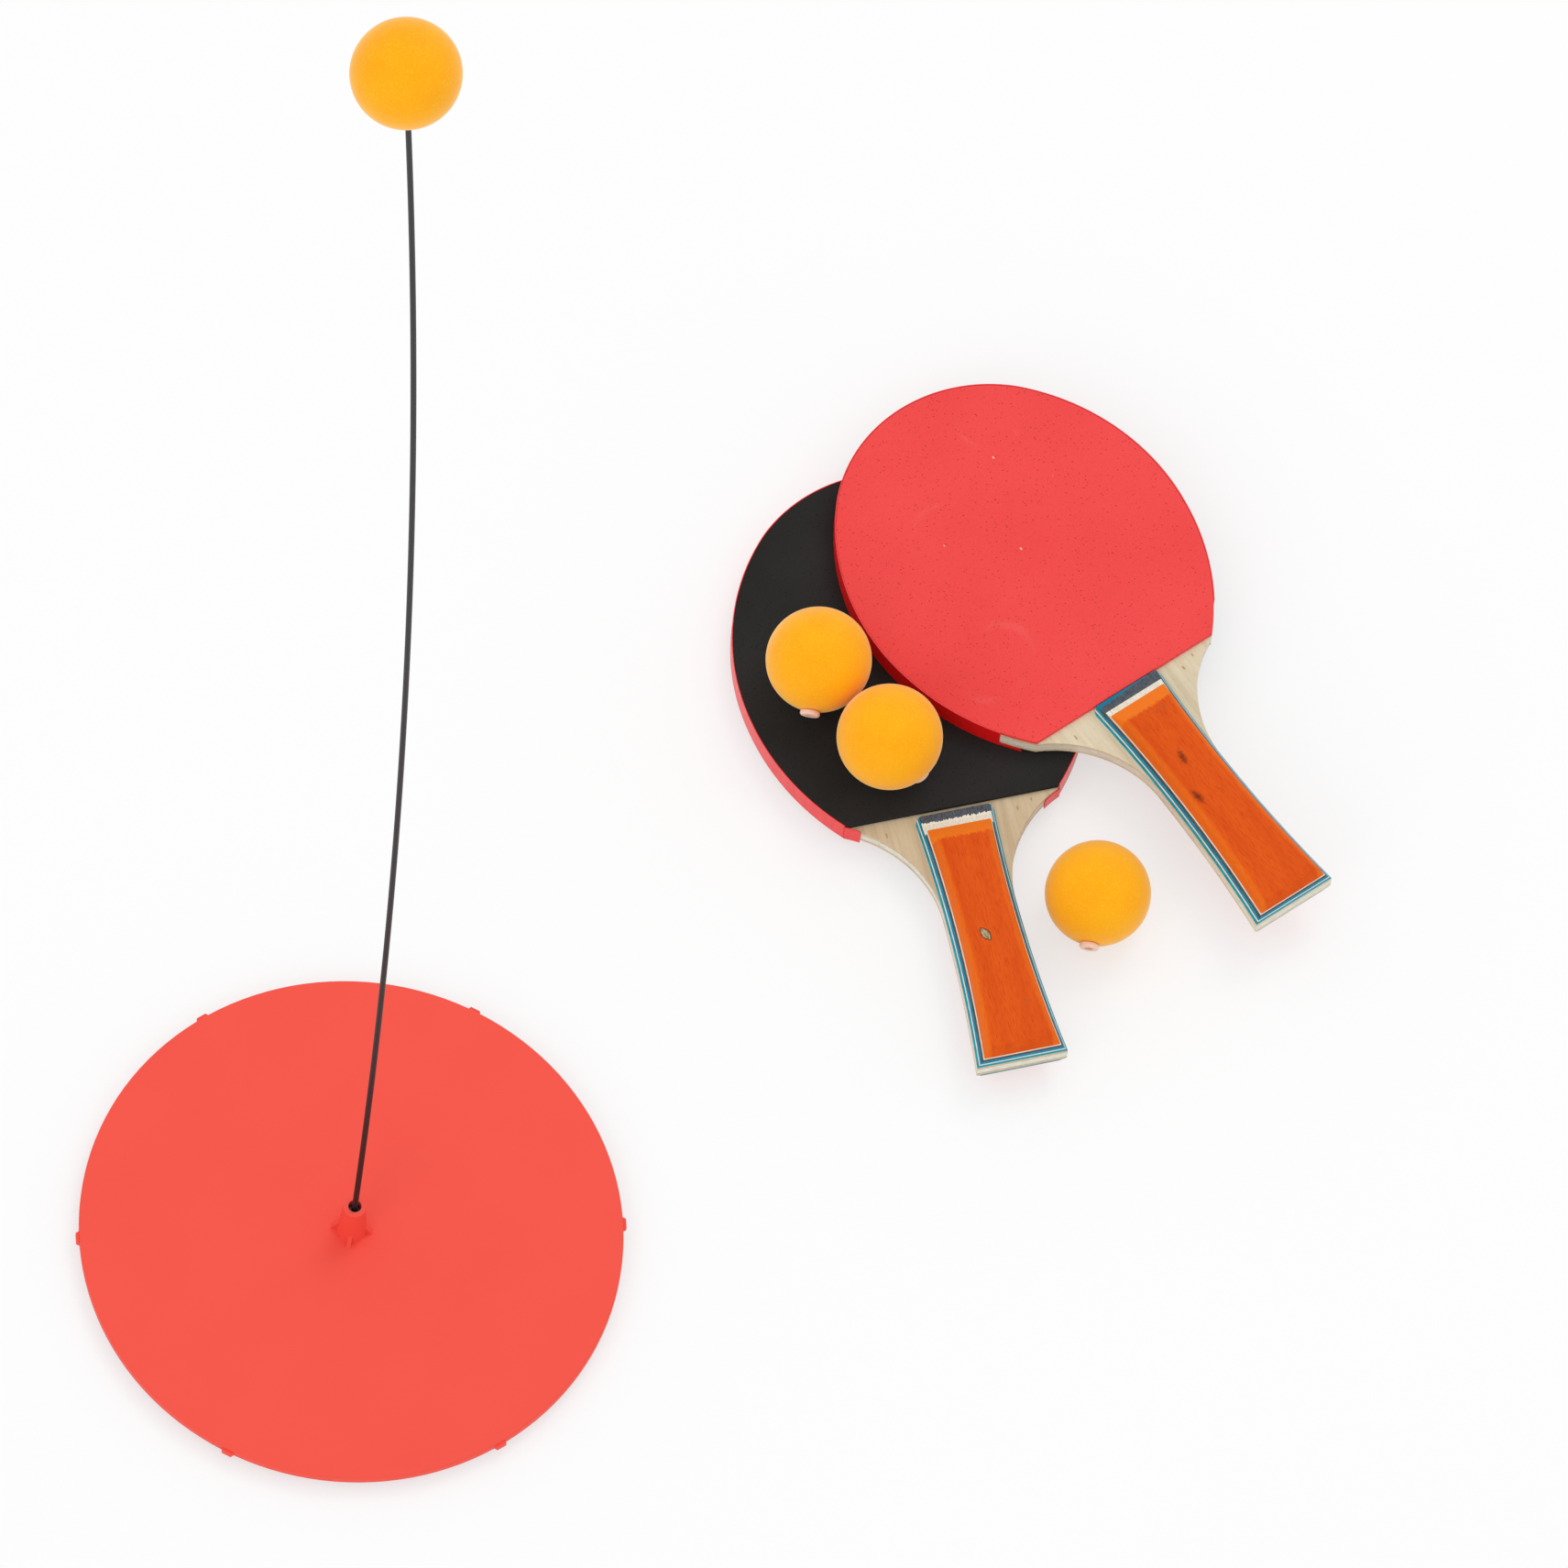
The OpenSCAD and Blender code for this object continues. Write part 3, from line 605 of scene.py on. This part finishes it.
def softened(node, width, keep):
    """A merged copy of a solid with the edges that keep() picks rounded over."""
    bm = bmesh.new()
    bm.from_mesh(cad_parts[node].data)
    bmesh.ops.remove_doubles(bm, verts=bm.verts, dist=MERGE_GAP * MM)
    bmesh.ops.dissolve_limit(bm, angle_limit=FLAT_ANGLE, verts=bm.verts, edges=bm.edges)
    edges = [e for e in bm.edges if e.calc_face_angle(0) > EDGE_ANGLE and keep(e)]
    bmesh.ops.bevel(bm, geom=edges, offset=width * MM, offset_type="OFFSET", segments=3,
                    profile=0.5, affect="EDGES", clamp_overlap=True, material=-1)
    return bm


for paddle in PADDLE_FRAMES:
    for colour, looks in FOAMS.items():
        finish = foam(f"{paddle}_{colour}_foam", paddle, **looks)
        node = f"{paddle}_{colour}_rubber"
        sheet = softened(node, FOAM_ROUND, lambda e: e.calc_face_angle(0) > RIM_ANGLE)
        add_piece(sheet, f"{paddle}_{colour}_foam_sheet", paddle, finish,
                  [node])

# %% [markdown]
# ## Edge tape
# A glossy red tape runs round the blade's edge. It was wound by hand, so its shine is uneven, with
# shallow wrinkles across it.

# %% Edge tape
def edge_tape(paddle):
    finish = Finish(paddle + "_edge_tape_red", PADDLE_FRAMES[paddle], Specular_IOR_Level=0.6)
    crease = finish.noise(0.5, detail=3, space=finish.stretched(1, 1, 0.25))
    finish.colour(finish.mix(crease, srgb(244, 24, 26), srgb(224, 10, 16)))
    finish.gloss(crease, 0.25, 0.42)
    finish.relief(crease, depth=0.12, strength=0.5)
    return finish


TAPES = {paddle: edge_tape(paddle) for paddle in PADDLE_FRAMES}
for paddle, tape in TAPES.items():
    dress([paddle + "_edge_tape"], tape)

# %% [markdown]
# On the lower paddle the tape was cut too long, so a tail of it runs down each side of the neck.
# On the upper one it tore at its left end, and a thin scrap stays along the lower edge. Each is
# the tape's section, four points, spun along an arc of the edge and closed at both ends. The right
# tail is narrower than the left, and every end is cut at a slant.

# %% Tails and scrap of the tape
# An arc is its centre's x and y, and the inner and outer radius of the tape on it.
NECK_ARC = (61.9, -43.2, 47.5, 47.9)
LOW_ARC = (-29.47, 65.0, 95.95, 96.2)
SHOULDER_X = 41.0
TORN_Y = 11.0
STRIP_LAP = 0.9
STRIP_STEPS = 12
neck_start = math.atan2(-NECK_ARC[1], SHOULDER_X - NECK_ARC[0])
torn_start = math.asin((TORN_Y - LOW_ARC[1]) / LOW_ARC[3])


def tape_strip(name, paddle, side, arc, start, length, low, high, slant):
    """A strip along an arc; a negative length runs clockwise, and side -1 then mirrors it."""
    x, y, inner, outer = arc
    lap = math.copysign(STRIP_LAP, length)
    start -= lap / outer
    bm = bmesh.new()
    section = [(inner, low), (outer, low), (outer, high), (inner, high)]
    ring = [bm.verts.new((x + r * math.cos(start), y + r * math.sin(start), z))
            for r, z in section]
    edges = [bm.edges.new((a, b)) for a, b in zip(ring, ring[1:] + ring[:1])]
    spun = bmesh.ops.spin(bm, geom=ring + edges, cent=(x, y, 0), axis=(0, 0, 1),
                          angle=(length + lap) / outer, steps=STRIP_STEPS)["geom_last"]
    end = [g for g in spun if isinstance(g, bmesh.types.BMVert)]
    end_top = [v for v in end if v.co.z > (low + high) / 2]
    bmesh.ops.translate(bm, vec=(0, 0, -slant), verts=end_top)
    bmesh.ops.holes_fill(bm, edges=[e for e in bm.edges if e.is_boundary], sides=0)
    bmesh.ops.scale(bm, vec=(side * MM, MM, MM), verts=bm.verts)
    bmesh.ops.recalc_face_normals(bm, faces=bm.faces)
    bmesh.ops.transform(bm, matrix=PADDLE_FRAMES[paddle], verts=bm.verts)
    add_piece(bm, name, paddle, TAPES[paddle])


tape_strip("paddle_a_tape_tail_left", "paddle_a", -1, NECK_ARC, neck_start,
           length=5.5, low=-4.3, high=4.3, slant=0.6)
tape_strip("paddle_a_tape_tail_right", "paddle_a", 1, NECK_ARC, neck_start,
           length=7.0, low=-4.6, high=1.5, slant=0.8)
tape_strip("paddle_b_tape_scrap", "paddle_b", -1, LOW_ARC, torn_start,
           length=-9.0, low=-4.7, high=-3.2, slant=0.6)

# %% [markdown]
# ## Dyed veneers
# A handle scale is a stack of thin dyed veneers under a thick orange face. Dye soaks in unevenly
# along the grain, so each veneer is two tones of its colour, mixed by noise that is drawn out
# along the handle. On the lower paddle the sander cut through the grey one, which leaves a ragged
# border, and on the upper one some blue shows at its front edge.

# %% Dyed veneers
VENEER_TONES = {
    "teal": (srgb(38, 166, 186), srgb(14, 130, 150)),
    "inner_cream": (srgb(236, 230, 214), srgb(214, 206, 184)),
    "blue": (srgb(28, 152, 184), srgb(12, 118, 150)),
    "grey": (srgb(92, 98, 106), srgb(62, 67, 76)),
    "cream": (srgb(238, 232, 216), srgb(218, 210, 190)),
}
GREY_BORDER = -6.67
TOOTH_START = 2.6
TOOTH_LENGTH = 3.2
SANDED_Y = (-10.5, -9.8)
SMEAR_TOOTH = 2.2
SMEAR_SLOPE = -0.07
SMEAR_Y = (-0.65, -0.3)


def sanded_grey(finish, tone):
    """Cream where the sander cut through, with long teeth of grey left in it."""
    tooth = finish.noise(1.0, detail=3, space=finish.stretched(1.6, 0.06, 0.1))
    border = finish.sum("MULTIPLY_ADD", tooth, -TOOTH_LENGTH, GREY_BORDER + TOOTH_START)
    through = finish.fade(finish.sum("SUBTRACT", finish.y, border), 0.1, -0.1)
    worn = finish.sum("MULTIPLY", through, finish.fade(finish.y, *SANDED_Y))
    return finish.mix(worn, tone, VENEER_TONES["cream"][0])


def smeared_grey(finish, tone):
    """Blue at the front edge, more of it on one side."""
    slope = finish.sum("MULTIPLY_ADD", finish.x, SMEAR_SLOPE, finish.y)
    smear = finish.sum("MULTIPLY_ADD", finish.noise(0.5), SMEAR_TOOTH, slope)
    return finish.mix(finish.fade(smear, *SMEAR_Y), tone, VENEER_TONES["blue"][1])


GREY_WEAR = {"paddle_a": sanded_grey, "paddle_b": smeared_grey}


def veneer(paddle, name, tones):
    finish = Finish(f"{paddle}_{name}_veneer", PADDLE_FRAMES[paddle], Specular_IOR_Level=0.15)
    fibre = finish.noise(1.0, detail=4, space=finish.stretched(2.5, 0.25, 2.5))
    tone = finish.mix(finish.fade(fibre, 0.32, 0.68), *tones)
    if name == "grey":
        tone = GREY_WEAR[paddle](finish, tone)
    finish.colour(tone)
    finish.gloss(fibre, 0.5, 0.7)
    finish.relief(fibre, depth=0.06, strength=0.5)
    return finish


for paddle in PADDLE_FRAMES:
    for name, tones in VENEER_TONES.items():
        both = [f"{paddle}_{side}_scale_{name}" for side in ("top", "bottom")]
        dress(both, veneer(paddle, name, tones))

# %% [markdown]
# ## Orange faces
# The face of a scale is orange wood. The grain is noise drawn out along the handle, with fine dark
# pores. At the front and along the sides the sander took some of the dye, and the wood looks
# lighter there. The sides flare, so their distance is worked out from the same waist as in the
# solid. Each top face has its own flaws: two knots and pinholes on the upper paddle, and a small
# chip and a pinhole on the lower one.

# %% Orange wood
FACE_FRONTS = {"paddle_a": SCALE_FACE_FRONT, "paddle_b": -14.0}
FRONT_TOOTH = 4.0
SIDE_TOOTH = 1.4
WAIST_Y = 43.2
FLARE_R = 601.4
FACE_HALF = 9.1


def thin_dye(finish, paddle, fuzz):
    """1 where the dye is sanded off at the front, and up to a half along the sides."""
    torn = finish.noise(1.0, detail=4, space=finish.stretched(0.9, 0.5, 0.2), rough=0.65)
    front_line = FACE_FRONTS[paddle]
    front = finish.sum("MULTIPLY_ADD", torn, FRONT_TOOTH, finish.y)
    front = finish.fade(front, front_line + 1.0, front_line + 2.6)
    flare = finish.sum("POWER", finish.sum("ADD", finish.y, WAIST_Y), 2)
    half_width = finish.sum("MULTIPLY_ADD", flare, 0.5 / FLARE_R, FACE_HALF)
    inside = finish.sum("SUBTRACT", half_width, finish.sum("ABSOLUTE", finish.x))
    side = finish.fade(finish.sum("MULTIPLY_ADD", fuzz, SIDE_TOOTH, inside), 2.0, 0.1)
    return finish.sum("MAXIMUM", front, finish.sum("MULTIPLY", side, 0.5))


def orange_wood(paddle, knots, pits, chips):
    finish = Finish(paddle + "_orange_wood", PADDLE_FRAMES[paddle], Specular_IOR_Level=0.1)
    band = finish.noise(1.0, detail=4, space=finish.stretched(0.22, 0.025, 0.22))
    pore = finish.noise(1.0, detail=3, space=finish.stretched(3.6, 0.28, 3.6))
    fuzz = finish.noise(1.0, detail=3, space=finish.stretched(1.6, 0.4, 1.6))
    wood = finish.mix(finish.fade(band, 0.3, 0.7), srgb(225, 89, 14), srgb(216, 79, 9))
    wood = finish.mix(finish.fade(pore, 0.46, 0.72), wood, srgb(203, 69, 6))
    pale = finish.mix(pore, srgb(246, 130, 34), srgb(238, 116, 26))
    wood = finish.mix(thin_dye(finish, paddle, fuzz), wood, pale)
    upper = finish.fade(finish.z, 0, 1)
    relief = pore
    for knot in knots:
        shade = finish.fade(finish.reach(*knot, ragged=0.35), 1.5, 0.0)
        shade = finish.sum("MULTIPLY", shade, upper)
        wood = finish.mix(finish.sum("MULTIPLY", shade, 0.85), wood, srgb(84, 30, 8))
    for pit in pits:
        shade = finish.fade(finish.reach(*pit, ragged=0.2), 1.2, 0.5)
        shade = finish.sum("MULTIPLY", shade, upper)
        wood = finish.mix(shade, wood, srgb(150, 92, 60))
        relief = finish.sum("SUBTRACT", relief, shade)
    for chip in chips:
        edge = finish.reach(*chip, ragged=0.12, pointed=True)
        bare = finish.sum("MULTIPLY", finish.fade(edge, 1.15, 1.0), upper)
        wood = finish.mix(bare, wood, srgb(96, 60, 34))
        inner = finish.sum("MULTIPLY", finish.fade(edge, 0.9, 0.7), upper)
        splinter = finish.mix(finish.fade(fuzz, 0.4, 0.6), srgb(186, 164, 128), srgb(140, 114, 78))
        wood = finish.mix(inner, wood, splinter)
        relief = finish.sum("SUBTRACT", relief, bare)
    finish.colour(wood)
    finish.gloss(pore, 0.42, 0.62)
    finish.relief(relief, depth=0.1, strength=0.6)
    return finish


# A flaw is its place x and y, its half width and half length, and its turn.
FLAWS = {
    "paddle_a": {
        "knots": [],
        "pits": [(5.5, -88, 0.4, 0.5, 0.0)],
        "chips": [(-2.3, -58, 1.7, 3.3, 0.42)],
    },
    "paddle_b": {
        "knots": [(-1.7, -38.5, 1.3, 3.2, -0.1), (-6.8, -55, 1.3, 3.4, 0.15)],
        "pits": [(5.2, -17, 0.5, 0.45, 0.0), (1.5, -17.6, 0.4, 0.4, 0.0),
                 (3.4, -17.1, 0.35, 0.35, 0.0)],
        "chips": [],
    },
}
ORANGES = {paddle: orange_wood(paddle, **flaws) for paddle, flaws in FLAWS.items()}
for finish in ORANGES.values():
    print(finish.material.name, "has", len(finish.tree.nodes), "nodes")

# %% [markdown]
# The sander also rounded the faces on their long edges and at the front. A copy of the solid is
# bevelled there, and keeps the edges that are glued to the cream veneer below it.

# %% Orange faces
GLUE_LINE = 7.05
FACE_ROUND = 0.5


def is_glued(home, edge):
    """True for an edge that lies on the cream veneer below the face."""
    return all(abs((home.inverted() @ v.co).z) < GLUE_LINE * MM for v in edge.verts)


for paddle, home in PADDLE_FRAMES.items():
    for side in ("top", "bottom"):
        node = f"{paddle}_{side}_scale_orange"
        face = softened(node, FACE_ROUND, lambda e: not is_glued(home, e))
        add_piece(face, f"{paddle}_{side}_orange_face", paddle, ORANGES[paddle],
                  [node])

# %% [markdown]
# ## Floor and sky
# The set stands on plain white paper that runs far back, under a pale sky. To look white, both are
# brighter for the camera, and for what shines back at it, than they are as light. So the paper
# keeps its soft shadows, and the white doesn't wash out the set.

# %% Floor
FLOOR_HALF = 20
FLOOR_DROP = 0.1 * MM
PAPER_GLOW = 0.6


def seen_directly(tree):
    """1 for a ray that comes from the camera, or from a mirror or glass that it looks at."""
    rays = tree.nodes.new("ShaderNodeLightPath").outputs
    share = rays["Is Camera Ray"]
    for other in ("Is Glossy Ray", "Is Transmission Ray"):
        either = tree.nodes.new("ShaderNodeMath")
        either.operation = "MAXIMUM"
        tree.links.new(share, either.inputs[0])
        tree.links.new(rays[other], either.inputs[1])
        share = either.outputs["Value"]
    return share


floor_bm = bmesh.new()
bmesh.ops.create_grid(floor_bm, x_segments=1, y_segments=1, size=FLOOR_HALF)
bmesh.ops.translate(floor_bm, vec=(0, 0, -FLOOR_DROP), verts=floor_bm.verts)
floor_mesh = bpy.data.meshes.new("floor")
floor_bm.to_mesh(floor_mesh)
floor_bm.free()
floor = bpy.data.objects.new("floor", floor_mesh)
bpy.context.scene.collection.objects.link(floor)
paper = Finish("floor_paper", Roughness=0.9, Specular_IOR_Level=0.0)
paper.colour(paper.mix(paper.noise(0.002, detail=2), srgb(249, 249, 249), srgb(247, 247, 247)))
glow = paper.node("ShaderNodeEmission", Strength=1.0)
glow_share = paper.sum("MULTIPLY", seen_directly(paper.tree), PAPER_GLOW)
lifted = paper.node("ShaderNodeMixShader", Fac=glow_share)
paper.feed(lifted.inputs[1], paper.shader.outputs["BSDF"])
paper.feed(lifted.inputs[2], glow.outputs["Emission"])
paper.feed(paper.tree.nodes["Material Output"].inputs["Surface"], lifted.outputs["Shader"])
floor_mesh.materials.append(paper.material)
print("floor is", 2 * FLOOR_HALF, "m wide")

# %% Sky
SKY_LEVEL = 0.87
SKY_SEEN = 1.0
world = bpy.data.worlds.new("studio")
bpy.context.scene.world = world
world.use_nodes = True
sky = world.node_tree.nodes["Background"]
sky.inputs["Color"].default_value = (1, 1, 1, 1)
level = world.node_tree.nodes.new("ShaderNodeMapRange")
level.inputs["To Min"].default_value = SKY_LEVEL
level.inputs["To Max"].default_value = SKY_SEEN
world.node_tree.links.new(seen_directly(world.node_tree), level.inputs["Value"])
world.node_tree.links.new(level.outputs["Result"], sky.inputs["Strength"])
print("sky lights at", SKY_LEVEL, "and shows at", SKY_SEEN)

# %% [markdown]
# ## Lamps
# Most of the light is the sky's. A big soft lamp high up at the back adds soft shadows, and a
# bigger one low in front fills the shaded side of the balls. Together they give a level at which a
# colour looks about as it is written, and the Standard view keeps it so.

# %% Lamps
LAMP_TARGET = Vector((0.2, 0.15, 0))


def soft_lamp(name, place, size, watts):
    data = bpy.data.lights.new(name, "AREA")
    data.size = size
    data.energy = watts
    lamp = bpy.data.objects.new(name, data)
    lamp.location = place
    lamp.rotation_mode = "QUATERNION"
    lamp.rotation_quaternion = (LAMP_TARGET - lamp.location).to_track_quat("-Z", "Y")
    bpy.context.scene.collection.objects.link(lamp)
    print(name, "gives", watts, "W")


soft_lamp("key_lamp", (0.9, 1.9, 2.9), size=1.4, watts=16)
soft_lamp("fill_lamp", (-1.2, -2.4, 1.7), size=2.0, watts=14)
bpy.context.scene.view_settings.view_transform = "Standard"

# %% [markdown]
# ## Camera
# The picture shows almost no perspective, so the camera is far away with a long lens. It looks
# down steeply, as the picture does on the paddles, and it leans to the side a little. Three
# directions at right angles, to its right, up and back, make the matrix that turns it.

# %% Camera
ELEVATION = math.radians(65)
LEAN = math.radians(9.5)
FRAME_WIDTH = 0.59
CAMERA_AWAY = 15.0
VIEW_END = 50
SENSOR = 36.0
LOOK_AT = Vector((0.132, 0.214, 0.0))
across = Vector((1, 0, 0))
rise = Vector((0, math.sin(ELEVATION), math.cos(ELEVATION)))
right = across * math.cos(LEAN) + rise * math.sin(LEAN)
up = rise * math.cos(LEAN) - across * math.sin(LEAN)
back = right.cross(up)
camera_data = bpy.data.cameras.new("camera")
camera_data.sensor_width = SENSOR
camera_data.lens = SENSOR * CAMERA_AWAY / FRAME_WIDTH
camera_data.clip_end = VIEW_END
camera = bpy.data.objects.new("camera", camera_data)
camera.rotation_mode = "QUATERNION"
camera.rotation_quaternion = Matrix((right, up, back)).transposed().to_quaternion()
camera.location = LOOK_AT + back * CAMERA_AWAY
bpy.context.scene.collection.objects.link(camera)
bpy.context.scene.camera = camera
print("lens", round(camera_data.lens), "mm")
